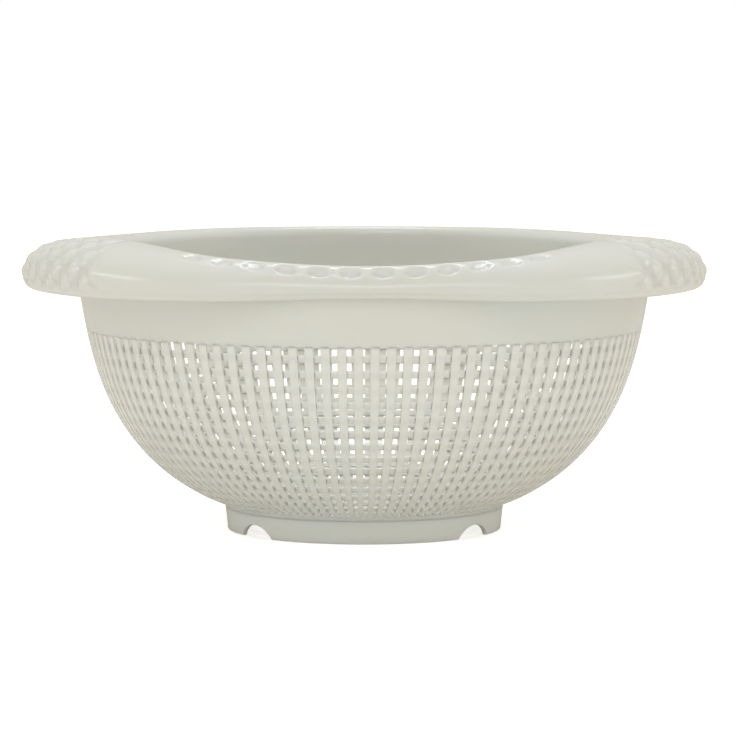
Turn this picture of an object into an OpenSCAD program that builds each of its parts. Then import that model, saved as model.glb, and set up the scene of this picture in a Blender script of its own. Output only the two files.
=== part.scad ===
// Kitchen colander: an open lattice bowl with a hollow rim, two grips,
// a pouring lip at the front (-Y) and a notched ring foot.
// Origin: centre of the foot's underside. +X runs through the right grip.

/* [Rim] */
// Width across the two grips
grip_span = 320; // [300:1:340]
// Width across the rim from the pouring lip to the back
lip_span = 282; // [279:1:292]
// Height of the rim's crest at the grips
crest_h = 135.4; // [132:0.2:140]
// Drop of the crest at the middle of the pouring lip
lip_drop = 4.8; // [2:0.2:7]
// Rise of the two humps beside the lip
hump_rise = 4.9; // [0:0.1:8]
// Drop of the crest behind the grips
heel_drop = 1.2; // [0:0.1:3]
// Depth of the skirt's lower edge below the crest at the grips
skirt_depth = 21; // [19:0.2:23]
// Depth of the neck, from the crest at the grips down to the bowl's wall
neck_depth = 19.4; // [18:0.1:20.4]
// Rise of the skirt's lower edge under the pouring lip
skirt_rise = 2; // [0:0.1:4]
// Depth of the rounded shoulder on the outside of a grip
grip_fall = 15; // [11:0.5:17]
// Depth of the rounded shoulder on the outside of the lip
lip_fall = 9; // [6:0.5:11]
// How far the skirt curls in at its lower edge
curl_in = 5; // [3:0.2:6]
// Height over which the wall flares into the crest
flare_h = 5.5; // [4:0.1:7]
// Distance of the crest outside the wall's inner face at the lip
lip_crest_out = 3.2; // [2.8:0.1:4]
// Distance of the crest outside the wall's inner face at a grip
grip_crest_out = 7.8; // [6:0.1:10]
// Thickness of the rim's shell
rim_t = 2; // [1.6:0.1:2.4]

/* [Wall] */
// Outer radius of the wall where the rim starts
wall_top_r = 133.7; // [130:0.1:135]
// Lean of the wall from the upright at its top, before fitting to its ends
lean_top = 6.6; // [4:0.1:10]
// Lean of the wall from the upright at its foot, before fitting to its ends
lean_foot = 65; // [58:0.5:70]
// Lean of the rim's inner neck from the upright
neck_lean = 6.5; // [4:0.1:9]
// Depth of the plain band along the wall
band_depth = 21.6; // [16:0.2:28]
// Thickness of the outer layer, which holds the ribs
rib_t = 1.4; // [1:0.1:1.8]
// Thickness of the inner layer, which holds the hoops
hoop_t = 1.2; // [1:0.1:1.6]
// Number of upright ribs
rib_count = 112; // [96:4:120]
// Share of the rib pitch that a rib fills
rib_share = 0.56; // [0.45:0.01:0.65]
// Rows of openings down the wall
row_count = 15; // [12:1:17]
// Share of the row pitch that a hoop fills
hoop_share = 0.43; // [0.35:0.01:0.55]

/* [Foot] */
// Outer radius where the foot ring meets the wall
foot_top_r = 65.3; // [56:0.1:72]
// How far the foot ring draws in from there to the ground
foot_taper = 1.1; // [0:0.1:4]
// Height of the floor's underside
floor_h = 10.6; // [8:0.1:14]
// Height of the foot ring's upper line above the floor's underside
foot_line_rise = 1.4; // [0.6:0.1:2.2]
// Thickness of the foot ring
foot_t = 2.4; // [1.8:0.1:3]
// Width of an arched notch at the ground
notch_w = 22.4; // [16:0.2:26]
// Height of an arched notch
notch_h = 5.9; // [4:0.1:7]
// Angle of a notch from the front or the back
notch_angle = 52; // [40:0.5:60]

/* [Floor] */
// Width of the solid ring round the floor
base_w = 6.7; // [5:0.1:8]
// Radius of the solid disc at the centre
disc_r = 9.5; // [7:0.5:12]
// Rings across the open floor
ring_count = 6; // [4:1:7]
// Rings that the outer floor ribs cross, the last of which is as thick as the floor
fork_ring_count = 4; // [2:1:4]
// Share of the ring pitch that a ring fills
ring_share = 0.42; // [0.35:0.01:0.5]
// Share of the rib pitch that a floor rib fills at the outside
floor_rib_share = 0.5; // [0.4:0.01:0.6]

/* [Hidden] */
$fn = 96;
full_turn = 360;
half_turn = full_turn / 2;
quarter_turn = full_turn / 4;

// Sizes that follow from others
wall_top_h = crest_h - neck_depth;
skirt_h = crest_h - skirt_depth;
foot_r = foot_top_r - foot_taper;
foot_top_h = floor_h + foot_line_rise;
base_in_r = foot_top_r - base_w;
wall_t = rib_t + hoop_t;

// Angles of the rim, measured from the front, or from the front or back
lip_flat_angle = 8;
grip_start_angle = 54;
lip_drop_half = 48;
hump_angle = 56;
hump_half = 31;
heel_angle = 118;
heel_half = 38;
skirt_rise_half = 32;
curl_turn = 75;

// Steps in the band and in each curve of the rim's section
band_steps = 4;
flare_steps = 5;
fall_steps = 7;
curl_steps = 4;
rim_step_angle = 4;

// Rim zones: name, first and last angle round from the front (-Y) towards +X
function rim_zones() = [
    ["front_lip", -32, 32],
    ["front_right_shoulder", 32, 66],
    ["right_grip", 66, 114],
    ["back_right_rim", 114, 148],
    ["back_rim", 148, 212],
    ["back_left_rim", 212, 246],
    ["left_grip", 246, 294],
    ["front_left_shoulder", 294, 328]
];
function quarter_names() = ["front", "right", "back", "left"];

// A smooth step from 0 to 1 as x goes from a to b
function ease(x, a, b) =
    let (t = min(max((x - a) / (b - a), 0), 1))
    t * t * (3 - 2 * t);

// A smooth hump of height 1 centred on c, and 0 beyond half to each side
function hump(x, c, half) =
    abs(x - c) < half ? (1 + cos(half_turn * (x - c) / half)) / 2 : 0;

// Angle from the front, 0 to 180, of an angle counted round the rim
function from_front(a) = abs(((a + half_turn) % full_turn) - half_turn);

// Angle from the front or the back, whichever is nearer
function from_end(a) =
    let (f = from_front(a))
    min(f, half_turn - f);

// The wall's outer line, from under the rim to the foot. Its lean from the
// upright grows with the square of the way down, and the running sums are
// stretched to the two ends that the sizes give.
line_steps = 90;
function line_lean(i) = lean_top + (lean_foot - lean_top) * pow(i / line_steps, 2);
function running(list) = [
    for (i = 0, sum = 0; i <= len(list); sum = sum + (i < len(list) ? list[i] : 0), i = i + 1)
        sum
];
line_in = running([for (i = [0:line_steps - 1]) sin(line_lean(i + 1 / 2))]);
line_down = running([for (i = [0:line_steps - 1]) cos(line_lean(i + 1 / 2))]);
wall_line = [for (i = [0:line_steps]) [
    wall_top_r - (wall_top_r - foot_top_r) * line_in[i] / line_in[line_steps],
    wall_top_h - (wall_top_h - foot_top_h) * line_down[i] / line_down[line_steps]
]];
wall_arc = running([for (i = [0:line_steps - 1]) norm(wall_line[i + 1] - wall_line[i])]);
wall_len = wall_arc[line_steps];
arc_to_r = [for (i = [0:line_steps]) [wall_arc[i], wall_line[i][0]]];
arc_to_z = [for (i = [0:line_steps]) [wall_arc[i], wall_line[i][1]]];

// Rows of openings: each pitch is an opening and then a hoop
row_pitch = (wall_len - band_depth) / row_count;
hoop_w = row_pitch * hoop_share;
gap_w = row_pitch - hoop_w;
rib_pitch_angle = full_turn / rib_count;
rib_angle = rib_pitch_angle * rib_share;

// Point of the wall at arc length s down its outer line, depth t inside it
function outer_point(s) = [lookup(s, arc_to_r), lookup(s, arc_to_z)];
function inward(s) =
    let (
        step = wall_len / line_steps,
        a = outer_point(max(s - step, 0)),
        b = outer_point(min(s + step, wall_len)),
        d = (b - a) / norm(b - a)
    )
    [d[1], -d[0]];
function wall_point(s, t) = outer_point(s) + t * inward(s);

// Corners of the lattice along the wall: its top edge, the middle of each
// opening and its bottom edge. Ribs and hoops share these corners.
lattice_end = band_depth + (row_count - 1) * row_pitch + gap_w;
corner_arcs = concat(
    [band_depth],
    [for (i = [1:row_count - 1]) band_depth + i * row_pitch + gap_w / 2],
    [lattice_end]
);
outer_corners = [for (s = corner_arcs) wall_point(s, 0)];
middle_corners = [for (s = corner_arcs) wall_point(s, rib_t)];
inner_corners = [for (s = corner_arcs) wall_point(s, wall_t)];

// Point at arc length s on the straight run of corners
function on_corners(s, corners) =
    let (
        i = max([for (k = [0:len(corner_arcs) - 2]) corner_arcs[k] <= s ? k : 0]),
        share = (s - corner_arcs[i]) / (corner_arcs[i + 1] - corner_arcs[i])
    )
    corners[i] + (corners[i + 1] - corners[i]) * share;

function backwards(list) = [for (i = [len(list) - 1:-1:0]) list[i]];

// Rim sizes at an angle counted round from the front
function grip_ease(a) = ease(from_end(a), lip_flat_angle, grip_start_angle);
function mix(a, b, share) = a + (b - a) * share;
function rim_r(a) = mix(lip_span, grip_span, grip_ease(a)) / 2;
function crest_z(a) =
    let (f = from_front(a))
    crest_h
    - lip_drop * hump(f, 0, lip_drop_half)
    + hump_rise * hump(f, hump_angle, hump_half)
    - heel_drop * hump(f, heel_angle, heel_half);
function skirt_z(a) = skirt_h + skirt_rise * hump(from_front(a), 0, skirt_rise_half);
function fall(a) = mix(lip_fall, grip_fall, grip_ease(a));
function neck_out(z) = wall_top_r + (z - wall_top_h) * tan(neck_lean);
function neck_in(z) = neck_out(z) - wall_t;
function crest_r(a) =
    neck_in(crest_z(a) - flare_h) + mix(lip_crest_out, grip_crest_out, grip_ease(a));

// Points of a quarter of an ellipse, from turn t0 to t1: r along cos, z along sin
function bow(c, rr, rz, t0, t1, steps) =
    [for (i = [0:steps]) let (t = mix(t0, t1, i / steps)) c + [rr * cos(t), rz * sin(t)]];

// Section of the rim at one angle, as [radius, height] points, going up the
// inner face, over the crest, down the outside, round the skirt's curl and
// back up the hollow to the neck. The way back has as many points as the way
// out, so each point has a partner across the shell.
function rim_section(a) =
    let (
        zc = crest_z(a),
        rc = crest_r(a),
        ro = rim_r(a),
        zs = skirt_z(a),
        zw = zc - fall(a),
        z_flare = zc - flare_h,
        r_flare = neck_in(z_flare),
        curl_r = ro - curl_in,
        curl_z = (zw - zs) / sin(curl_turn),
        r_nook = neck_out(z_flare - rim_t)
    )
    concat(
        [[wall_top_r - wall_t, wall_top_h]],
        bow([rc, z_flare], rc - r_flare, flare_h, half_turn, quarter_turn, flare_steps),
        [for (i = [1:fall_steps]) let (t = quarter_turn * (1 - i / fall_steps))
            [rc + (ro - rc) * cos(t), zw + (zc - zw) * sin(t)]],
        [for (i = [1:curl_steps]) let (t = curl_turn * i / curl_steps)
            [curl_r + curl_in * cos(t), zw - curl_z * sin(t)]],
        [for (i = [curl_steps:-1:1]) let (t = curl_turn * i / curl_steps)
            [curl_r + (curl_in - rim_t) * cos(t), zw - (curl_z - rim_t) * sin(t)]],
        [for (i = [0:fall_steps]) let (t = quarter_turn * i / fall_steps)
            [rc + (ro - rim_t - rc) * cos(t), zw + (zc - rim_t - zw) * sin(t)]],
        [for (i = [1:flare_steps]) let (t = quarter_turn * (1 + i / flare_steps))
            [rc + (rc - r_nook) * cos(t), z_flare - rim_t + flare_h * sin(t)]],
        [[wall_top_r, wall_top_h]]
    );

// Turns a section's point into space, with angle 0 at the front (-Y)
function place(p, a) = [p[0] * sin(a), -p[0] * cos(a), p[1]];

// A solid through sections at a row of angles. Its ends are strips between
// partner points across the shell.
module swept(angles) {
    sections = [for (a = angles) rim_section(a)];
    n = len(sections[0]);
    last = len(angles) - 1;
    points = [for (i = [0:last]) for (p = sections[i]) place(p, angles[i])];
    sides = [for (i = [0:last - 1]) for (j = [0:n - 1])
        let (k = (j + 1) % n, a = i * n + j, b = i * n + k, c = a + n, d = b + n)
        each [[a, c, d], [a, d, b]]];
    start = [for (j = [0:n / 2 - 2])
        each [[j, j + 1, n - 2 - j], [j, n - 2 - j, n - 1 - j]]];
    end = [for (f = start) [for (i = [2:-1:0]) last * n + f[i]]];
    polyhedron(points = points, faces = concat(sides, start, end), convexity = 10);
}

module rim_zone(first, last) {
    count = round((last - first) / rim_step_angle);
    color([0.84, 0.85, 0.82])
    swept([for (i = [0:count]) mix(first, last, i / count)]);
}

// The plain band: the wall's full thickness from the rim to the slots
module upper_band() {
    step = band_depth / band_steps;
    color([0.83, 0.84, 0.8])
    rotate_extrude()
    polygon(concat(
        [[wall_top_r, wall_top_h]],
        [for (i = [1:band_steps]) wall_point(i * step, 0)],
        [wall_point(band_depth, rib_t)],
        [for (i = [band_steps:-1:1]) wall_point(i * step, wall_t)],
        [[wall_top_r - wall_t, wall_top_h]]
    ));
}

// One upright rib: a sector of the outer layer
module wall_rib() {
    rotate([0, 0, -rib_angle / 2])
    rotate_extrude(angle = rib_angle)
    polygon(concat(outer_corners, backwards(middle_corners)));
}

// A quarter of the ribs, with a slot in the middle of each quarter's span
module wall_ribs(quarter) {
    count = rib_count / len(quarter_names());
    first = (quarter - 3 / 2) * quarter_turn;
    color([0.84, 0.83, 0.77])
    for (i = [0:count - 1])
        rotate([0, 0, first + (i + 1 / 2) * rib_pitch_angle])
        wall_rib();
}

// One hoop of the inner layer, seated on the ribs' inner faces
module hoop(i) {
    top = band_depth + i * row_pitch - hoop_w;
    bottom = band_depth + i * row_pitch;
    color([0.82, 0.8, 0.73])
    rotate_extrude()
    polygon([
        on_corners(top, middle_corners),
        on_corners(bottom, middle_corners),
        on_corners(bottom, inner_corners),
        on_corners(top, inner_corners)
    ]);
}

floor_top = floor_h + wall_t;
floor_mid = floor_h + rib_t;

// The solid ring where wall, floor and foot meet
module base_ring() {
    color([0.78, 0.77, 0.71])
    rotate_extrude()
    polygon([
        [base_in_r, floor_h],
        [foot_top_r, floor_h],
        [foot_top_r, foot_top_h],
        wall_point(lattice_end, 0),
        wall_point(lattice_end, wall_t),
        [foot_top_r - wall_t, floor_top],
        [base_in_r, floor_top]
    ]);
}

// The ring foot with its four arched notches
notch_r = (notch_w * notch_w / 4 + notch_h * notch_h) / (2 * notch_h);
module foot_ring() {
    color([0.77, 0.77, 0.71])
    difference() {
        rotate_extrude()
        polygon([
            [foot_r - foot_t, 0],
            [foot_r, 0],
            [foot_top_r, floor_h],
            [foot_top_r - foot_t, floor_h]
        ]);
        for (a = [-notch_angle, notch_angle, half_turn - notch_angle, half_turn + notch_angle])
            rotate([0, 0, a - quarter_turn])
            translate([foot_r - 2 * foot_t, 0, notch_h - notch_r])
            rotate([0, quarter_turn, 0])
            cylinder(r = notch_r, h = 4 * foot_t);
    }
}

// Radius of the floor's rings: ring 1 is the outermost
ring_pitch = (base_in_r - disc_r) / (ring_count + ring_share);
ring_w = ring_pitch * ring_share;
function ring_out_r(i) = base_in_r - i * ring_pitch + ring_w;
module floor_ring(i) {
    solid = i == fork_ring_count;
    color([0.8, 0.78, 0.71])
    rotate_extrude()
    translate([ring_out_r(i) - ring_w, solid ? floor_h : floor_mid])
    square([ring_w, solid ? wall_t : hoop_t]);
}

module floor_disc() {
    color([0.8, 0.78, 0.71])
    translate([0, 0, floor_h])
    cylinder(r = disc_r, h = wall_t);
}

// Radial ribs of the floor's lower layer: one half run to the centre disc,
// the others end at the fork ring
module floor_ribs() {
    outer_count = rib_count / 2;
    inner_count = outer_count / 2;
    outer_angle = full_turn / outer_count * floor_rib_share;
    color([0.8, 0.79, 0.72])
    union() {
        for (i = [0:outer_count - 1])
            rotate([0, 0, (i + 1 / 2) * full_turn / outer_count - outer_angle / 2])
            rotate_extrude(angle = outer_angle)
            translate([ring_out_r(fork_ring_count), floor_h])
            square([base_in_r - ring_out_r(fork_ring_count), rib_t]);
        for (i = [0:inner_count - 1])
            rotate([0, 0, (i + 1 / 2) * full_turn / inner_count - outer_angle])
            rotate_extrude(angle = 2 * outer_angle)
            translate([disc_r, floor_h])
            square([ring_out_r(fork_ring_count) - ring_w - disc_r, rib_t]);
    }
}

for (z = rim_zones())
    rim_zone(z[1], z[2]);
upper_band();
for (q = [0:len(quarter_names()) - 1])
    wall_ribs(q);
for (i = [1:row_count - 1])
    hoop(i);
base_ring();
foot_ring();
floor_ribs();
for (i = [1:ring_count])
    floor_ring(i);
floor_disc();
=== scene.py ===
"""A plastic colander with a lattice bowl, a hollow wavy rim and a notched ring foot.

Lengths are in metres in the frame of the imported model: Z up, +X through the
right grip and -Y through the pouring lip. Angles round the bowl are in
degrees from the front (-Y) towards +X.
"""

import logging
import math
from collections.abc import Sequence
from dataclasses import dataclass, field
from enum import Enum

import bpy
import numpy as np
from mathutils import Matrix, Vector


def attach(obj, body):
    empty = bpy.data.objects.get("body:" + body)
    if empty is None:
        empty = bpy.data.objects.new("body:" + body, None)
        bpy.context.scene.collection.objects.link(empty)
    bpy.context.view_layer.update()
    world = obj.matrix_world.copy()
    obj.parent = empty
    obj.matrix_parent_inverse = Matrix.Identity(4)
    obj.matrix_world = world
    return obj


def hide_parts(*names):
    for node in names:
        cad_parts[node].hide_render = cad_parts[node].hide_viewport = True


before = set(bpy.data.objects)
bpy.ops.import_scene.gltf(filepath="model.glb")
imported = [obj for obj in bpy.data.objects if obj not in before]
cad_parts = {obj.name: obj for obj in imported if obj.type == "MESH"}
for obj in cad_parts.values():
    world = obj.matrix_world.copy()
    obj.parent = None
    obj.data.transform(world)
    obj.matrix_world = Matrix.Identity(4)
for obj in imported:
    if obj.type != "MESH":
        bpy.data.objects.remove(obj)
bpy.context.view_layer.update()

log = logging.getLogger("colander")
MM = 0.001
BODY = "root"


class Side(Enum):
    """The four quarters of the lattice wall, by the middle of each one's span."""

    FRONT = 0
    RIGHT = 90
    BACK = 180
    LEFT = 270


# ---------------------------------------------------------------- shape tools


def ease(x: np.ndarray, a: float, b: float) -> np.ndarray:
    """A smooth step: 3t^2 - 2t^3, where t goes from 0 at a to 1 at b."""
    t = np.clip((x - a) / (b - a), 0.0, 1.0)
    return t * t * (3.0 - 2.0 * t)


def hump(x: np.ndarray, centre: float, half: float) -> np.ndarray:
    """A raised cosine of height 1 at centre, and 0 beyond half to each side."""
    t = np.clip((x - centre) / half, -1.0, 1.0)
    return (1.0 + np.cos(np.pi * t)) / 2.0


def mix(a, b, share):
    """The value that lies at share of the way from a to b."""
    return a + (b - a) * share


def from_front(angle: np.ndarray) -> np.ndarray:
    """Angle from the front, 0 to 180, of an angle counted round the bowl."""
    return np.abs((angle + 180.0) % 360.0 - 180.0)


def from_end(angle: np.ndarray) -> np.ndarray:
    """Angle from the front or the back, whichever is nearer."""
    away = from_front(angle)
    return np.minimum(away, 180.0 - away)


def place(radius: np.ndarray, height: np.ndarray, angle: np.ndarray) -> np.ndarray:
    """Points in space: x = r sin a, y = -r cos a, z = height.

    Args:
        radius: distances from the bowl's axis, in mm.
        height: heights above the ground, in mm.
        angle: angles from the front in degrees, of a shape that broadcasts.

    Returns:
        An array with a last axis of 3, in metres.
    """
    turn = np.radians(angle)
    x, y, z = np.broadcast_arrays(
        radius * np.sin(turn), -radius * np.cos(turn), height
    )
    return np.stack([x, y, z], axis=-1) * MM


def grid_faces(rows: int, cols: int, close_rows: bool, close_cols: bool) -> np.ndarray:
    """Quads of a grid of points, row by row.

    Each quad joins point (i, j) to (i + 1, j), (i + 1, j + 1) and (i, j + 1).

    Args:
        rows: points along the first parameter.
        cols: points along the second parameter.
        close_rows: whether the last row joins the first.
        close_cols: whether the last column joins the first.

    Returns:
        An array of corner indices, one quad a line.
    """
    i = np.arange(rows if close_rows else rows - 1)[:, None]
    j = np.arange(cols if close_cols else cols - 1)[None, :]
    i2, j2 = (i + 1) % rows, (j + 1) % cols
    quads = np.stack(
        np.broadcast_arrays(i * cols + j, i2 * cols + j, i2 * cols + j2, i * cols + j2),
        axis=-1,
    )
    return quads.reshape(-1, 4)


def make_piece(
    name: str, points: np.ndarray, polygons: list[np.ndarray], sharp: float = 40.0
) -> bpy.types.Object:
    """A mesh object from whole arrays of points and polygons.

    Args:
        name: the piece's name.
        points: its vertices, in metres, with a last axis of 3.
        polygons: arrays of corner indices, each with one polygon a line.
        sharp: the angle in degrees beyond which an edge is not shaded smooth.

    Returns:
        The new object, at the origin and riding on the colander's body.
    """
    points = points.reshape(-1, 3)
    corners = np.concatenate([p.ravel() for p in polygons])
    sizes = np.concatenate([np.full(len(p), p.shape[1]) for p in polygons])
    starts = np.concatenate([[0], np.cumsum(sizes)[:-1]])
    mesh = bpy.data.meshes.new(name)
    mesh.vertices.add(len(points))
    mesh.vertices.foreach_set("co", points.astype(np.float32).ravel())
    mesh.loops.add(len(corners))
    mesh.loops.foreach_set("vertex_index", corners.astype(np.int32))
    mesh.polygons.add(len(sizes))
    mesh.polygons.foreach_set("loop_start", starts.astype(np.int32))
    mesh.polygons.foreach_set("use_smooth", np.ones(len(sizes), bool))
    mesh.update(calc_edges=True)
    mesh.validate()
    mesh.set_sharp_from_angle(angle=math.radians(sharp))
    piece = bpy.data.objects.new(name, mesh)
    bpy.context.scene.collection.objects.link(piece)
    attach(piece, BODY)
    return piece


def report(piece: bpy.types.Object) -> None:
    """Logs a piece's name and how many triangles it has."""
    mesh = piece.data
    log.info("%s: %d triangles", piece.name, len(mesh.loops) - 2 * len(mesh.polygons))


def revolve(name: str, section: np.ndarray, steps: int) -> bpy.types.Object:
    """A ring: a closed section, given anticlockwise as (r, z), carried round the axis.

    Args:
        name: the piece's name.
        section: the section's corners as (radius, height) in mm.
        steps: how many times the section is repeated round the axis.

    Returns:
        The ring's object.
    """
    angles = np.arange(steps) * 360.0 / steps
    points = place(section[None, :, 0], section[None, :, 1], angles[:, None])
    return make_piece(name, points, [grid_faces(steps, len(section), True, True)])


def rounded(corners: np.ndarray, radii: Sequence[float], steps: int = 3) -> np.ndarray:
    """A polygon with its corners rounded by parabolas.

    A corner of radius r is replaced by the curve (1-t)^2 A + 2t(1-t) C + t^2 B, where C
    is the corner and A and B lie r along its two sides.

    Args:
        corners: the polygon's corners, one a line.
        radii: the rounding at each corner, 0 for a sharp one.
        steps: how many parts each rounded corner has.

    Returns:
        The rounded polygon's corners.
    """
    out = []
    for i, radius in enumerate(radii):
        corner = corners[i]
        if radius == 0:
            out.append(corner[None])
            continue
        before = corners[i - 1] - corner
        after = corners[(i + 1) % len(corners)] - corner
        a = corner + before / np.linalg.norm(before) * radius
        b = corner + after / np.linalg.norm(after) * radius
        t = np.linspace(0.0, 1.0, steps + 1)[:, None]
        out.append((1 - t) ** 2 * a + 2 * t * (1 - t) * corner + t**2 * b)
    return np.concatenate(out)


# ------------------------------------------------------------------- finishes


@dataclass(frozen=True)
class CreamPlastic:
    """Semi-gloss cream polypropylene that lets a little light into it.

    Its colour drifts slightly between a cooler and a warmer cream. A broad bump gives it
    the faint unevenness of a moulding that has shrunk, and a fine one its skin's grain.
    """

    name: str = "cream_plastic"
    cool: tuple[float, float, float] = (0.735, 0.760, 0.735)
    warm: tuple[float, float, float] = (0.743, 0.752, 0.712)
    roughness: float = 0.22
    ior: float = 1.49
    cloud_scale: float = 14.0
    cloud_detail: float = 3.0
    cloud_span: tuple[float, float] = (0.35, 0.65)
    grain_scale: float = 900.0
    grain_detail: float = 2.0
    grain_height: float = 0.000006
    wave_scale: float = 60.0
    wave_detail: float = 1.0
    wave_height: float = 0.0003
    light_share: float = 0.8
    light_reach: tuple[float, float, float] = (1.0, 0.95, 0.86)
    depth: float = 0.003

    def make(self) -> bpy.types.Material:
        """Builds the material's nodes.

        Returns:
            The material.
        """
        material = bpy.data.materials.new(self.name)
        material.use_nodes = True
        nodes, links = material.node_tree.nodes, material.node_tree.links
        shader = nodes["Principled BSDF"]
        where = nodes.new("ShaderNodeTexCoord")

        def noise(scale: float, detail: float) -> bpy.types.NodeSocket:
            """The value of a noise over the piece's own coordinates."""
            texture = nodes.new("ShaderNodeTexNoise")
            texture.inputs["Scale"].default_value = scale
            texture.inputs["Detail"].default_value = detail
            links.new(where.outputs["Object"], texture.inputs["Vector"])
            return texture.outputs["Fac"]

        cloud = noise(self.cloud_scale, self.cloud_detail)
        tint = nodes.new("ShaderNodeValToRGB")
        cool, warm = tint.color_ramp.elements
        cool.position, warm.position = self.cloud_span
        cool.color, warm.color = (*self.cool, 1.0), (*self.warm, 1.0)
        links.new(cloud, tint.inputs["Fac"])
        links.new(tint.outputs["Color"], shader.inputs["Base Color"])

        grain = noise(self.grain_scale, self.grain_detail)
        waves = noise(self.wave_scale, self.wave_detail)
        normal = None
        for source, distance in ((waves, self.wave_height), (grain, self.grain_height)):
            bump = nodes.new("ShaderNodeBump")
            bump.inputs["Strength"].default_value = 1.0
            bump.inputs["Distance"].default_value = distance
            links.new(source, bump.inputs["Height"])
            if normal is not None:
                links.new(normal, bump.inputs["Normal"])
            normal = bump.outputs["Normal"]
        links.new(normal, shader.inputs["Normal"])

        shader.inputs["Roughness"].default_value = self.roughness
        shader.inputs["IOR"].default_value = self.ior
        shader.inputs["Subsurface Weight"].default_value = self.light_share
        shader.inputs["Subsurface Radius"].default_value = self.light_reach
        shader.inputs["Subsurface Scale"].default_value = self.depth
        return material


# --------------------------------------------------------------------- shapes


@dataclass
class Wall:
    """The bowl's wall: its outer line and the lattice laid out along it, in mm."""

    top_r: float = 133.7
    top_h: float = 116.0
    foot_top_r: float = 65.3
    foot_top_h: float = 12.0
    lean_top: float = 6.6
    lean_foot: float = 65.0
    band_depth: float = 21.6
    rib_t: float = 1.4
    hoop_t: float = 1.2
    rib_count: int = 112
    rib_share: float = 0.56
    row_count: int = 15
    hoop_share: float = 0.43
    line_steps: int = 360
    arc: np.ndarray = field(init=False)
    line: np.ndarray = field(init=False)
    inward: np.ndarray = field(init=False)

    def __post_init__(self) -> None:
        """Works out the outer line.

        Its lean from the upright is top + (foot - top) t^2 at share t of the way down.
        The running sums of its sine and cosine are stretched to the line's two ends.
        """
        share = (np.arange(self.line_steps) + 0.5) / self.line_steps
        lean = np.radians(mix(self.lean_top, self.lean_foot, share**2))
        across = np.concatenate([[0.0], np.cumsum(np.sin(lean))])
        down = np.concatenate([[0.0], np.cumsum(np.cos(lean))])
        self.line = np.stack(
            [
                mix(self.top_r, self.foot_top_r, across / across[-1]),
                mix(self.top_h, self.foot_top_h, down / down[-1]),
            ],
            axis=-1,
        )
        steps = np.linalg.norm(np.diff(self.line, axis=0), axis=1)
        self.arc = np.concatenate([[0.0], np.cumsum(steps)])
        along = np.gradient(self.line, self.arc, axis=0)
        along /= np.linalg.norm(along, axis=1)[:, None]
        self.inward = np.stack([along[:, 1], -along[:, 0]], axis=-1)

    @property
    def thickness(self) -> float:
        """The wall's full thickness."""
        return self.rib_t + self.hoop_t

    @property
    def row_pitch(self) -> float:
        """Distance down the wall from one hoop to the next."""
        return (self.arc[-1] - self.band_depth) / self.row_count

    @property
    def lattice_end(self) -> float:
        """How far down the wall the last opening ends."""
        return self.arc[-1] - self.row_pitch * self.hoop_share

    def point(self, s: np.ndarray, depth: np.ndarray) -> np.ndarray:
        """Points of the wall: the outer line at s, moved depth along its inward normal.

        Args:
            s: distances down the outer line.
            depth: depths inside it.

        Returns:
            An array of (radius, height), with the shape of s and depth.
        """
        s, depth = np.broadcast_arrays(s, depth)
        on = [np.interp(s, self.arc, self.line[:, k]) for k in (0, 1)]
        to = [np.interp(s, self.arc, self.inward[:, k]) for k in (0, 1)]
        return np.stack([on[0] + depth * to[0], on[1] + depth * to[1]], axis=-1)


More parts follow.
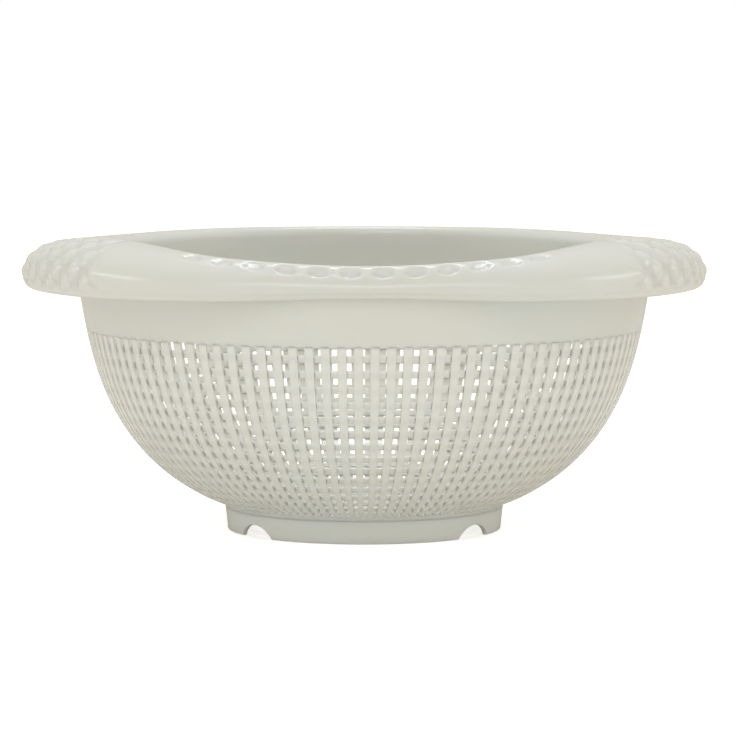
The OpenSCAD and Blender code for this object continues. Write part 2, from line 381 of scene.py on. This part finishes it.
@dataclass
class Lattice:
    """The wall's open part: upright ribs over level hoops."""

    wall: Wall
    finish: bpy.types.Material
    edge: float = 0.45
    outer_edge: float = 0.15
    rib_steps: int = 46
    hoop_steps: int = 224

    def build(self) -> list[bpy.types.Object]:
        """Makes the four quarters of ribs and the hoops.

        Returns:
            The new pieces.
        """
        pieces = [self.ribs(side) for side in Side]
        pieces += [self.hoop(i) for i in range(1, self.wall.row_count)]
        for piece in pieces:
            piece.data.materials.append(self.finish)
        return pieces

    def ribs(self, side: Side) -> bpy.types.Object:
        """A quarter of the upright ribs.

        Each rib is a sector of the outer layer. Its section is a rectangle with sharp
        outer edges, whose two side faces each have a shallow V cut into them, edge deep
        and edge below the outer face. It is laid out across the rib in degrees and into
        the wall in mm.

        Args:
            side: the quarter.

        Returns:
            The ribs of that quarter, as one piece.
        """
        wall = self.wall
        count = wall.rib_count // len(Side)
        pitch = 360.0 / wall.rib_count
        half = pitch * wall.rib_share / 2
        s = np.linspace(wall.band_depth, wall.lattice_end, self.rib_steps)
        turn = np.radians([0.0, 22.5, 45.0, 67.5, 90.0])
        inset = self.edge * (1 - np.sin(turn))
        below = self.edge * (1 - np.cos(turn))
        depth = np.concatenate([[wall.rib_t], below[::-1], below, [wall.rib_t]])
        section = wall.point(s[:, None], depth[None, :])
        degrees = np.degrees(inset[None, :] / section[:, 0, :1])
        plain = np.full_like(degrees[:, :1], half)
        across = np.concatenate(
            [-plain, degrees - half, half - degrees[:, ::-1], plain], axis=1
        )
        first = side.value - 45.0
        centres = first + (np.arange(count) + 0.5) * pitch
        angles = centres[:, None, None] + across[None]
        points = place(section[None, ..., 0], section[None, ..., 1], angles)
        rows, cols = section.shape[:2]
        quads = grid_faces(rows, cols, False, True)
        caps = np.stack([np.arange(cols)[::-1], (rows - 1) * cols + np.arange(cols)])
        shift = (np.arange(count) * rows * cols)[:, None, None]
        piece = make_piece(
            f"ribs_{side.name.lower()}",
            points,
            [(quads[None] + shift).reshape(-1, 4),
             (caps[None] + shift).reshape(-1, cols)[:, ::-1]],
        )
        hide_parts(f"wall_ribs_{side.name.lower()}")
        return piece

    def hoop(self, number: int) -> bpy.types.Object:
        """One level hoop of the inner layer, with its inner edges rounded."""
        wall = self.wall
        bottom = wall.band_depth + number * wall.row_pitch
        top = bottom - wall.row_pitch * wall.hoop_share
        corners = np.array([[top, wall.rib_t], [top, wall.thickness],
                            [bottom, wall.thickness], [bottom, wall.rib_t]])
        section = rounded(corners, [self.outer_edge, self.edge, self.edge, self.outer_edge])
        piece = revolve(f"hoop_ring_{number}", wall.point(section[:, 0], section[:, 1]),
                        self.hoop_steps)
        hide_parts(f"hoop_{number}")
        return piece


@dataclass
class Rim:
    """The hollow rim, and the plain band that it grows out of.

    It has a pouring lip, two grips with a woven look and scallops at front and back.
    """

    wall: Wall
    finish: bpy.types.Material
    grip_span: float = 320.0
    lip_span: float = 282.0
    widening: tuple[float, float] = (8.0, 54.0)
    crest_h: float = 135.4
    lip_drop: float = 4.8
    lip_half: float = 48.0
    hump_rise: float = 4.9
    hump_at: float = 56.0
    hump_half: float = 31.0
    heel_drop: float = 1.2
    heel_at: float = 118.0
    heel_half: float = 38.0
    skirt_depth: float = 21.0
    skirt_rise: float = 2.0
    skirt_half: float = 32.0
    grip_fall: float = 15.0
    lip_fall: float = 9.0
    curl_in: float = 5.0
    curl_turn: float = 75.0
    tip_bulge: float = 0.6
    flare_h: float = 5.5
    lip_crest_out: float = 3.2
    grip_crest_out: float = 7.8
    shell_t: float = 2.0
    neck_lean: float = 6.5
    sharp: float = 50.0
    angle_steps: tuple[tuple[float, float, float], ...] = (
        (0.0, 36.0, 0.4), (36.0, 48.0, 1.0), (48.0, 90.0, 0.3)
    )
    pattern_count: int = 62
    weave_depth: float = 1.5
    weave_start: tuple[float, float] = (47.5, 50.5)
    weave_top: tuple[float, float] = (0.3, 2.0)
    weave_end: tuple[float, float] = (6.0, 3.0)
    first_row: float = 3.2
    row_height: float = 7.3
    strand_slant: float = 50.0
    strand_half: tuple[float, float] = (6.6, 4.2)
    strand_blend: int = 4
    scallop_depth: float = 1.0
    scallop_end: tuple[float, float] = (34.0, 36.0)
    scallop_middle: float = 4.4
    scallop_half: tuple[float, float] = (5.3, 3.4)
    scallop_power: float = 2.4
    scallop_edge: tuple[float, float] = (1.0, 0.4)
    scallop_edge_span: tuple[float, float] = (-0.2, 0.4)
    groove_depth: float = 0.35
    groove_above: float = 3.4
    groove_half: float = 1.5

    def build(self) -> list[bpy.types.Object]:
        """Makes the rim as one continuous piece.

        Returns:
            A list with the rim.
        """
        angles = self.angles()
        radius, height = self.section(angles)
        points = place(radius, height, angles[:, None])
        rows, cols = radius.shape
        faces = grid_faces(rows, cols, True, True)[:, ::-1]
        piece = make_piece("rim", points, [faces], self.sharp)
        piece.data.materials.append(self.finish)
        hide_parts("upper_band", "front_lip", "front_right_shoulder",
                    "right_grip", "back_right_rim", "back_rim", "back_left_rim",
                    "left_grip", "front_left_shoulder")
        return [piece]

    def angles(self) -> np.ndarray:
        """Angles round the rim, closer together where its surface is patterned."""
        quarter = np.concatenate([np.arange(*span) for span in self.angle_steps])
        half = np.concatenate([quarter, [90.0], (180.0 - quarter)[::-1]])
        return np.concatenate([half, (360.0 - half)[::-1][1:-1]])

    def section(self, angles: np.ndarray) -> tuple[np.ndarray, np.ndarray]:
        """Closed sections of the rim, one at each angle.

        Each goes up the band's inner face, over the crest along two quarter ellipses,
        down the skirt, round its curled edge, back up the hollow and down the band.

        Args:
            angles: angles round the rim.

        Returns:
            Two arrays, radius and height, with a line for each angle.
        """
        wall = self.wall
        a = angles[:, None]
        front, end = from_front(a), from_end(a)
        wide = ease(end, *self.widening)
        crest_z = (self.crest_h - self.lip_drop * hump(front, 0.0, self.lip_half)
                   + self.hump_rise * hump(front, self.hump_at, self.hump_half)
                   - self.heel_drop * hump(front, self.heel_at, self.heel_half))
        skirt_z = (self.crest_h - self.skirt_depth
                   + self.skirt_rise * hump(front, 0.0, self.skirt_half))
        rim_r = mix(self.lip_span, self.grip_span, wide) / 2
        wall_z = crest_z - mix(self.lip_fall, self.grip_fall, wide)
        flare_z = crest_z - self.flare_h

        def neck(z: np.ndarray) -> np.ndarray:
            """Radius of the neck's outer face at height z."""
            return wall.top_r + (z - wall.top_h) * math.tan(math.radians(self.neck_lean))

        flare_r = neck(flare_z) - wall.thickness
        crest_r = flare_r + mix(self.lip_crest_out, self.grip_crest_out, wide)
        curl_r = rim_r - self.curl_in
        curl_z = (wall_z - skirt_z) / math.sin(math.radians(self.curl_turn))
        nook_r = neck(flare_z - self.shell_t)
        t = self.shell_t

        def arc(centre, size, start: float, stop: float, steps: int):
            """Points of an ellipse about centre, from angle start to stop."""
            turn = np.radians(np.linspace(start, stop, steps + 1))[None, :]
            return centre[0] + size[0] * np.cos(turn), centre[1] + size[1] * np.sin(turn)

        flat = np.zeros_like(crest_z)
        band, thick = wall.band_depth, wall.thickness
        inside = wall.point(
            band * np.array([1.0, 0.994, 0.98, 0.75, 0.5, 0.25]),
            thick - np.array([0.45, 0.12, 0.0, 0.0, 0.0, 0.0]),
        )
        inside = np.concatenate([inside, [[wall.top_r - thick, wall.top_h]]])
        outside = wall.point(band * np.array([0.25, 0.5, 0.75, 1.0]), 0.0)
        outside = np.concatenate([[[wall.top_r, wall.top_h]], outside])
        band_in = (flat + inside[None, :, 0], flat + inside[None, :, 1])
        band_out = (flat + outside[None, :, 0], flat + outside[None, :, 1])
        flare = arc((crest_r, flare_z), (crest_r - flare_r, flat + self.flare_h), 180, 90, 10)
        fall = arc((crest_r, wall_z), (rim_r - crest_r, crest_z - wall_z), 90, 0, 34)
        curl = arc((curl_r, wall_z), (flat + self.curl_in, curl_z), 0, -self.curl_turn, 14)
        back = arc((curl_r, wall_z), (flat + self.curl_in - t, curl_z - t), -self.curl_turn, 0, 5)
        roof = arc((crest_r, wall_z), (rim_r - t - crest_r, crest_z - t - wall_z), 0, 90, 10)
        nook = arc((crest_r, flare_z - t), (crest_r - nook_r, flat + self.flare_h), 90, 180, 6)

        outer_r = np.concatenate([fall[0][:, 1:], curl[0][:, 1:]], axis=1)
        outer_z = np.concatenate([fall[1][:, 1:], curl[1][:, 1:]], axis=1)
        outer_r, outer_z = self.emboss(a, fall[0][:, :1], fall[1][:, :1], outer_r, outer_z)
        tip = self.tip(outer_r[:, -1:], outer_z[:, -1:], back[0][:, :1], back[1][:, :1])
        radius = np.concatenate([band_in[0], flare[0], outer_r, tip[0], back[0],
                                 roof[0][:, 1:], nook[0][:, 1:-1], band_out[0]], axis=1)
        height = np.concatenate([band_in[1], flare[1], outer_z, tip[1], back[1],
                                 roof[1][:, 1:], nook[1][:, 1:-1], band_out[1]], axis=1)
        return radius, height

    def tip(self, r0: np.ndarray, z0: np.ndarray, r1: np.ndarray, z1: np.ndarray):
        """A half oval from (r0, z0) to (r1, z1): the skirt's edge."""
        turn = np.radians([36.0, 72.0, 108.0, 144.0])[None, :]
        mid_r, mid_z = (r0 + r1) / 2, (z0 + z1) / 2
        half_r, half_z = (r0 - r1) / 2, (z0 - z1) / 2
        return (mid_r + half_r * np.cos(turn) + half_z * np.sin(turn) * self.tip_bulge,
                mid_z + half_z * np.cos(turn) - half_r * np.sin(turn) * self.tip_bulge)

    def emboss(self, angle, crest_r, crest_z, radius, height):
        """Moves the outer face inwards by the depth of its pattern.

        Args:
            angle: angles round the rim, in a column.
            crest_r: radius of the crest, in a column.
            crest_z: height of the crest, in a column.
            radius: radii of the outer face's points, a line for each angle.
            height: their heights.

        Returns:
            The moved radii and heights.
        """
        full_r = np.concatenate([crest_r, radius], axis=1)
        full_z = np.concatenate([crest_z, height], axis=1)
        dr, dz = np.gradient(full_r, axis=1), np.gradient(full_z, axis=1)
        length = np.hypot(dr, dz)
        v = np.cumsum(np.hypot(np.diff(full_r, axis=1), np.diff(full_z, axis=1)), axis=1)
        depth = self.depth(angle, radius, v)
        out_r, out_z = -dz / length, dr / length
        return radius - depth * out_r[:, 1:], height - depth * out_z[:, 1:]

    def depth(self, angle: np.ndarray, radius: np.ndarray, v: np.ndarray) -> np.ndarray:
        """Depth of the pattern at distance v below the crest.

        The grips carry slanted strands in staggered rows. The depth falls with the sum
        of (1 - along^2 - across^2)^blend over the nearest strands, where along and
        across are counted on each strand's own axes. The lip and the back carry one row
        of shallow scallops under the crest, and a groove runs above the skirt's edge.

        Args:
            angle: angles round the rim, in a column.
            radius: radii of the outer face's points, a line for each angle.
            v: their distances below the crest along the face.

        Returns:
            The depths, in mm.
        """
        front, end = from_front(angle), from_end(angle)
        pitch = 360.0 / self.pattern_count
        length = v[:, -1:]
        fading, gone = (length - above for above in self.weave_end)
        grip = (ease(end, *self.weave_start) * ease(v, *self.weave_top)
                * (1 - ease(v, fading, gone)))
        slant = math.radians(self.strand_slant)
        half_length, half_width = self.strand_half
        total = np.zeros_like(v)
        row = np.floor((v - self.first_row) / self.row_height + 0.5)
        for step in (-1, 0, 1):
            k = row + step
            shift = 0.5 + 0.5 * (np.mod(k, 2) == 0)
            cell = np.floor(front / pitch - shift + 0.5)
            y = v - (self.first_row + k * self.row_height)
            for side in (-1, 0, 1):
                x = np.radians(front - (cell + side + shift) * pitch) * radius
                along = (x * math.cos(slant) + y * math.sin(slant)) / half_length
                across = (-x * math.sin(slant) + y * math.cos(slant)) / half_width
                total += np.clip(1 - along**2 - across**2, 0, 1) ** self.strand_blend
        strands = np.minimum(total ** (1 / self.strand_blend), 1.0)
        weave = self.weave_depth * grip * (1 - strands)

        half_width, half_height = self.scallop_half
        middle = (np.floor(end / pitch) + 0.5) * pitch
        x = np.abs(np.radians(end - middle) * radius / half_width)
        y = (v - self.scallop_middle) / half_height
        power = self.scallop_power
        dish = np.clip(1 - (x**power + np.abs(y) ** power), 0, 1)
        edge = mix(*self.scallop_edge, ease(y, *self.scallop_edge_span))
        shown = 1 - ease(end, *self.scallop_end)
        scallop = self.scallop_depth * shown * ease(dish / edge, 0.0, 1.0)
        groove = self.groove_depth * hump(v, length - self.groove_above, self.groove_half)
        return weave + scallop + groove


@dataclass
class Foot:
    """The ring foot with four arched notches, and the ring where wall and floor meet."""

    wall: Wall
    finish: bpy.types.Material
    taper: float = 1.1
    floor_h: float = 10.6
    foot_t: float = 2.4
    notch_w: float = 22.4
    notch_h: float = 5.9
    notch_angle: float = 52.0
    base_w: float = 6.7
    base_radii: tuple[float, ...] = (0.2, 0.0, 0.9, 0.0, 0.2, 1.2, 0.3)
    base_steps: int = 224
    plain_step: float = 1.0
    plain_gap: float = 0.4
    arch_points: int = 41
    edge: tuple[float, ...] = (0.0, 0.12, 0.5)

    def build(self) -> list[bpy.types.Object]:
        """Makes the base ring and the foot.

        Returns:
            The two pieces.
        """
        pieces = [self.base(), self.foot()]
        for piece in pieces:
            piece.data.materials.append(self.finish)
        return pieces

    def base(self) -> bpy.types.Object:
        """The solid ring where wall, floor and foot meet."""
        wall = self.wall
        inner = wall.foot_top_r - self.base_w
        top = self.floor_h + wall.thickness
        outer_end = wall.point(wall.lattice_end, 0.0)
        inner_end = wall.point(wall.lattice_end, wall.thickness)
        corners = np.array([
            [inner, self.floor_h], [wall.foot_top_r, self.floor_h],
            [wall.foot_top_r, wall.foot_top_h], outer_end, inner_end,
            [wall.foot_top_r - wall.thickness, top], [inner, top],
        ])
        section = rounded(corners, self.base_radii)
        piece = revolve("base", section, self.base_steps)
        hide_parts("base_ring")
        return piece

    def foot(self) -> bpy.types.Object:
        """The ring foot: a tapering wall whose lower edge rises over each notch.

        The lower edge is at the arch's height where the ring is inside a notch's width,
        by the circle through the arch's feet and top, and at the ground elsewhere.
        """
        wall = self.wall
        foot_r = wall.foot_top_r - self.taper
        arch_r = (self.notch_w**2 / 4 + self.notch_h**2) / (2 * self.notch_h)
        half = math.degrees(math.asin(self.notch_w / 2 / foot_r))
        centres = np.array([self.notch_angle, 180 - self.notch_angle,
                            180 + self.notch_angle, 360 - self.notch_angle])

        def to_notch(angle: np.ndarray) -> np.ndarray:
            """Angle to the middle of the nearest notch."""
            return np.min(np.abs(angle[:, None] - centres[None, :]), axis=1)

        plain = np.arange(0.0, 360.0, self.plain_step)
        plain = plain[to_notch(plain) > half + self.plain_gap]
        arches = centres[:, None] + np.linspace(-half, half, self.arch_points)
        angles = np.sort(np.concatenate([plain, arches.ravel()]))
        nearest = to_notch(angles)
        side = foot_r * np.sin(np.radians(np.minimum(nearest, half)))
        rise = np.sqrt(arch_r**2 - side**2) - (arch_r - self.notch_h)
        low = np.where(nearest <= half + 1e-9, np.maximum(rise, 0.0), 0.0)[:, None]
        high = self.floor_h

        def outer(z: np.ndarray) -> np.ndarray:
            """Radius of the foot's outer face at height z."""
            return foot_r + (wall.foot_top_r - foot_r) * z / high

        edge = np.array(self.edge)
        z_out = np.concatenate([low + edge[None, :],
                                mix(low + edge[-1], high, np.linspace(0, 1, 7)[None, 1:])], axis=1)
        r_out = outer(z_out)
        r_out[:, :2] -= edge[:0:-1]
        z_in = z_out[:, ::-1]
        r_in = outer(z_in) - self.foot_t
        r_in[:, -2:] += edge[1:]
        radius = np.concatenate([r_out, r_in], axis=1)
        height = np.concatenate([z_out, z_in], axis=1)
        points = place(radius, height, angles[:, None])
        piece = make_piece("foot", points, [grid_faces(len(angles), radius.shape[1], True, True)])
        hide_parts("foot_ring")
        return piece


@dataclass
class Floor:
    """The open floor: rings over radial ribs round a solid disc."""

    wall: Wall
    finish: bpy.types.Material
    height: float = 10.6
    edge_r: float = 58.6
    disc_r: float = 9.5
    ring_count: int = 6
    fork_ring: int = 4
    ring_share: float = 0.42
    rib_share: float = 0.5
    low_edge: float = 0.2
    high_edge: float = 0.45
    ring_steps: int = 144
    rib_steps: int = 5
    disc_steps: int = 96

    def build(self) -> list[bpy.types.Object]:
        """Makes the rings, the ribs and the disc.

        Returns:
            The new pieces.
        """
        pieces = [self.ring(i) for i in range(1, self.ring_count + 1)]
        pieces += [self.ribs(), self.disc()]
        for piece in pieces:
            piece.data.materials.append(self.finish)
        return pieces

    @property
    def pitch(self) -> float:
        """Distance from one ring to the next."""
        return (self.edge_r - self.disc_r) / (self.ring_count + self.ring_share)

    def ring_r(self, number: int) -> float:
        """Outer radius of a ring, counted from the outside."""
        return self.edge_r - number * self.pitch + self.pitch * self.ring_share

    def ring(self, number: int) -> bpy.types.Object:
        """One ring of the floor, with its upper edges rounded."""
        outer = self.ring_r(number)
        inner = outer - self.pitch * self.ring_share
        thick = number == self.fork_ring
        low = self.height + (0.0 if thick else self.wall.rib_t)
        high = self.height + self.wall.thickness
        corners = np.array([[inner, low], [outer, low], [outer, high], [inner, high]])
        section = rounded(corners, [self.low_edge, self.low_edge,
                                    self.high_edge, self.high_edge])
        piece = revolve(f"floor_hoop_{number}", section, self.ring_steps)
        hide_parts(f"floor_ring_{number}")
        return piece

    def ribs(self) -> bpy.types.Object:
        """The radial ribs: sectors of the lower layer with their lower edges rounded."""
        outer_count = self.wall.rib_count // 2
        inner_count = outer_count // 2
        fork_out = self.ring_r(self.fork_ring)
        fork_in = fork_out - self.pitch * self.ring_share
        pitch = 360.0 / outer_count
        half = pitch * self.rib_share / 2
        rise = np.array([self.wall.rib_t, 0.4, 0.12, 0.0])
        inset = np.array([0.0, 0.0, 0.12, 0.4])
        rise, inset = (np.concatenate([side, side[::-1]])[None] for side in (rise, inset))
        way = np.repeat([-1, 1], 4)[None]
        rows, cols = self.rib_steps + 1, rise.size
        faces = grid_faces(rows, cols, False, True)[:, ::-1]
        ends = np.stack([np.arange(cols)[::-1], (rows - 1) * cols + np.arange(cols)])
        points, quads, caps, total = [], [], [], 0
        for count, start, stop, wide in (
            (outer_count, fork_out, self.edge_r, half),
            (inner_count, self.disc_r, fork_in, 2 * half),
        ):
            r = np.linspace(start, stop, rows)[:, None]
            z = self.height + rise
            across = way * (wide - np.degrees(inset / r))
            centres = (np.arange(count) + 0.5) * 360.0 / count
            angles = centres[:, None, None] + across[None] + 90.0
            points.append(place(r[None], z[None], angles).reshape(-1, 3))
            shift = total + (np.arange(count) * rows * cols)[:, None, None]
            quads.append((faces[None] + shift).reshape(-1, 4))
            caps.append((ends[None] + shift).reshape(-1, cols))
            total += count * rows * cols
        piece = make_piece("floor_spokes", np.concatenate(points),
                           [np.concatenate(quads), np.concatenate(caps)])
        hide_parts("floor_ribs")
        return piece

    def disc(self) -> bpy.types.Object:
        """The solid disc at the centre, with a rounded upper edge and a closed middle."""
        high = self.height + self.wall.thickness
        r = np.array([0.4, 4.0, self.disc_r - 0.5, self.disc_r - 0.15, self.disc_r,
                      self.disc_r, self.disc_r - 0.2, 4.0, 0.4])
        z = np.array([high, high, high, high - 0.15, high - 0.5,
                      self.height + 0.2, self.height, self.height, self.height])
        angles = np.arange(self.disc_steps) * 360.0 / self.disc_steps
        points = place(r[None, :], z[None, :], angles[:, None])
        firsts = np.arange(self.disc_steps) * len(r)
        caps = np.stack([firsts, (firsts + len(r) - 1)[::-1]])
        faces = grid_faces(self.disc_steps, len(r), True, False)[:, ::-1]
        piece = make_piece("floor_boss", points, [faces, caps])
        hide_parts("floor_disc")
        return piece


# ---------------------------------------------------------------------- studio


@dataclass(frozen=True)
class Lamp:
    """A soft light: where it stands, how wide and high it is, and its watts."""

    name: str
    at: tuple[float, float, float]
    size: tuple[float, float]
    watts: float


LAMPS = (
    Lamp("front", (0.0, -2.5, 0.10), (2.4, 0.16), 9.0),
    Lamp("top", (0.0, 0.10, 1.5), (0.6, 0.3), 6.0),
    Lamp("left", (-2.2, -0.7, 0.15), (1.4, 0.25), 5.5),
    Lamp("right", (2.2, -0.7, 0.15), (1.4, 0.25), 5.5),
    Lamp("glint", (-0.2, -1.3, 1.2), (0.4, 0.12), 1.5),
)


@dataclass
class Studio:
    """The pale floor, the soft lights and the camera."""

    distance: float = 1.7116
    height: float = 0.2203
    tilt: float = 4.853
    pan: float = 0.06
    swing: float = 0.5
    focal_px: float = 3656.9
    frame_px: float = 736.0
    sensor: float = 36.0
    world_light: float = 0.61
    world_tint: tuple[float, float, float] = (1.0, 0.94, 0.83)
    lamp_tint: tuple[float, float, float] = (0.93, 0.985, 1.08)
    lamp_aim: tuple[float, float, float] = (0.0, 0.0, 0.07)
    clip: tuple[float, float] = (0.05, 200.0)
    floor_size: float = 60.0
    floor_drop: float = 0.0002
    floor_colour: tuple[float, float, float] = (0.90, 0.87, 0.80)
    floor_roughness: float = 0.9
    floor_lift: float = 0.65

    def build(self) -> None:
        """Makes everything that is not the colander."""
        self.camera()
        self.world()
        self.floor()
        for lamp in LAMPS:
            self.light(lamp)

    def camera(self) -> None:
        """A camera in front, without roll and tilted down as in the photograph.

        It stands at swing degrees to the left of the front, and looks at the axis turned
        by pan and tilt.
        """
        data = bpy.data.cameras.new("camera")
        data.sensor_width = self.sensor
        data.lens = self.focal_px / self.frame_px * self.sensor
        data.clip_start, data.clip_end = self.clip
        camera = bpy.data.objects.new("camera", data)
        turn = math.radians(self.swing)
        camera.location = (-self.distance * math.sin(turn),
                           -self.distance * math.cos(turn), self.height)
        camera.rotation_euler = (math.radians(90.0 - self.tilt), 0.0,
                                 -turn - math.radians(self.pan))
        bpy.context.scene.collection.objects.link(camera)
        bpy.context.scene.camera = camera

    def world(self) -> None:
        """An even, slightly warm surround, at full white to the camera."""
        world = bpy.data.worlds.new("surround")
        bpy.context.scene.world = world
        world.use_nodes = True
        nodes, links = world.node_tree.nodes, world.node_tree.links
        light = nodes["Background"]
        light.inputs["Color"].default_value = (*self.world_tint, 1.0)
        light.inputs["Strength"].default_value = self.world_light
        white = nodes.new("ShaderNodeBackground")
        white.inputs["Color"].default_value = (1.0, 1.0, 1.0, 1.0)
        white.inputs["Strength"].default_value = 1.0
        path = nodes.new("ShaderNodeLightPath")
        seen = nodes.new("ShaderNodeMath")
        seen.operation = "MAXIMUM"
        links.new(path.outputs["Is Camera Ray"], seen.inputs[0])
        links.new(path.outputs["Is Transmission Ray"], seen.inputs[1])
        pick = nodes.new("ShaderNodeMixShader")
        links.new(seen.outputs["Value"], pick.inputs["Fac"])
        links.new(light.outputs["Background"], pick.inputs[1])
        links.new(white.outputs["Background"], pick.inputs[2])
        links.new(pick.outputs["Shader"], nodes["World Output"].inputs["Surface"])

    def floor(self) -> None:
        """A wide pale floor that shows the colander's soft shadow."""
        half, low = self.floor_size / 2, -self.floor_drop
        mesh = bpy.data.meshes.new("studio_floor")
        mesh.from_pydata([(-half, -half, low), (half, -half, low),
                          (half, half, low), (-half, half, low)], [], [(0, 1, 2, 3)])
        floor = bpy.data.objects.new("studio_floor", mesh)
        bpy.context.scene.collection.objects.link(floor)
        material = bpy.data.materials.new("studio_white")
        material.use_nodes = True
        nodes, links = material.node_tree.nodes, material.node_tree.links
        shader = nodes["Principled BSDF"]
        shader.inputs["Base Color"].default_value = (*self.floor_colour, 1.0)
        shader.inputs["Roughness"].default_value = self.floor_roughness
        shader.inputs["Specular IOR Level"].default_value = 0.0
        glow = nodes.new("ShaderNodeEmission")
        path = nodes.new("ShaderNodeLightPath")
        lift = nodes.new("ShaderNodeMath")
        lift.operation = "MULTIPLY"
        lift.inputs[1].default_value = self.floor_lift
        links.new(path.outputs["Is Camera Ray"], lift.inputs[0])
        links.new(lift.outputs["Value"], glow.inputs["Strength"])
        both = nodes.new("ShaderNodeAddShader")
        links.new(shader.outputs["BSDF"], both.inputs[0])
        links.new(glow.outputs["Emission"], both.inputs[1])
        links.new(both.outputs["Shader"], nodes["Material Output"].inputs["Surface"])
        mesh.materials.append(material)

    def light(self, lamp: Lamp) -> None:
        """Sets up a lamp that is aimed at the colander's middle."""
        data = bpy.data.lights.new(lamp.name, "AREA")
        data.shape = "RECTANGLE"
        data.size, data.size_y = lamp.size
        data.energy = lamp.watts
        data.color = self.lamp_tint
        holder = bpy.data.objects.new(lamp.name, data)
        holder.location = lamp.at
        aim = Vector(self.lamp_aim) - Vector(lamp.at)
        holder.rotation_euler = aim.to_track_quat("-Z", "Y").to_euler()
        bpy.context.scene.collection.objects.link(holder)


def write_sizes() -> None:
    """Updates the view layer so that every object's placement is current."""
    bpy.context.view_layer.update()


def main() -> None:
    """Builds the colander from the rim to the floor, then the studio."""
    logging.basicConfig(level=logging.INFO, format="%(message)s")
    bpy.context.scene.view_settings.view_transform = "Standard"
    finish = CreamPlastic().make()
    # The lattice's ribs and hoops get a lighter cream than the rest of the colander: painted glow
    # that stands in for light coming through their thin sections from behind.
    glow_painted_finish = CreamPlastic(
        name="cream_plastic_painted_glow", cool=(0.790, 0.812, 0.780), warm=(0.800, 0.806, 0.755)
    ).make()
    wall = Wall()
    for part in (Rim(wall, finish), Lattice(wall, glow_painted_finish),
                 Foot(wall, finish), Floor(wall, finish)):
        for piece in part.build():
            report(piece)
    Studio().build()
    write_sizes()


if __name__ == "__main__":
    main()
